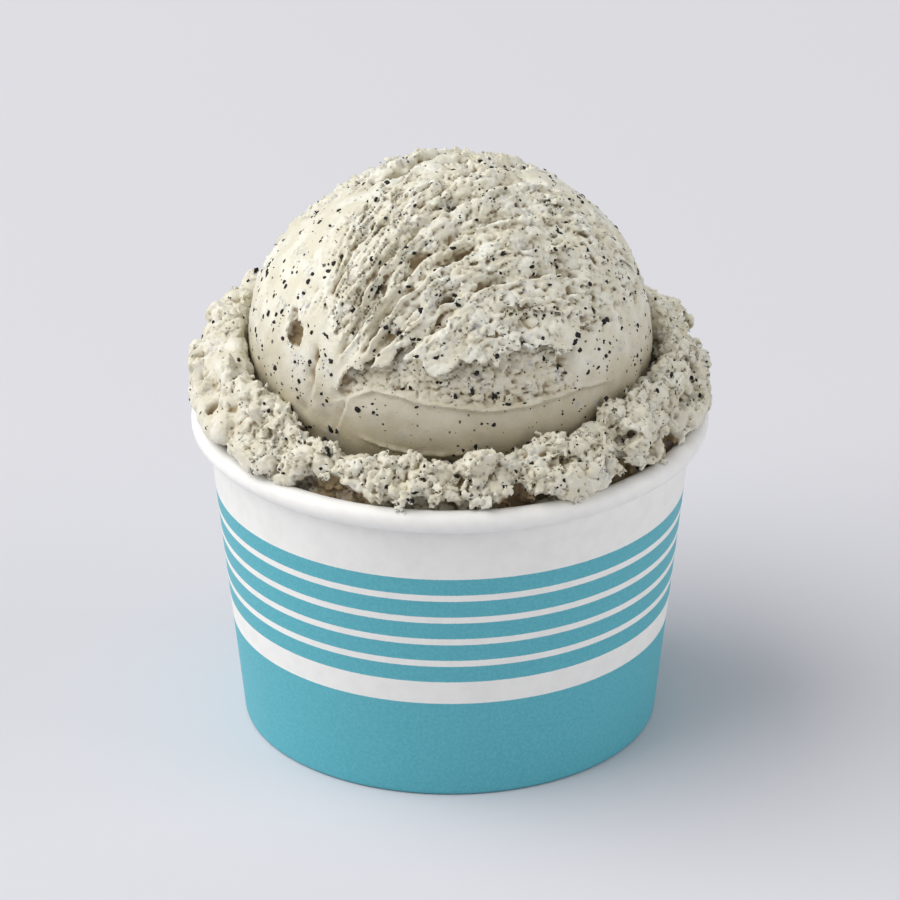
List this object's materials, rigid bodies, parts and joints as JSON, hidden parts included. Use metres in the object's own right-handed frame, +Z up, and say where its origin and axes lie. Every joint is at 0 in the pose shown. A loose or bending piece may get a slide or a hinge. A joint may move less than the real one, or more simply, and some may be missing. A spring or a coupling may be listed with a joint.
{
  "type": "gelato cup",
  "caption": "Tapered paper cup with a rolled rim and a striped wall, filled with a scoop of speckled gelato that stands over the rim in a torn collar.",
  "frame": {"origin": "on the cup's axis, at the plane that the cup stands on", "axes": "+Z up along the cup's axis; -Y is the front, where the torn lip and the two thin crests of the scoop show; +X is to the right seen from the front"},
  "size_m": [0.0775, 0.0765, 0.0863],
  "materials": {
    "cup_paper": "satin",
    "base_paper": "matte",
    "gelato": "satin"
  },
  "bodies": {
    "root": {"cup_wall": "cup_paper", "cup_base": "base_paper", "gelato": "gelato"}
  },
  "joints": []
}
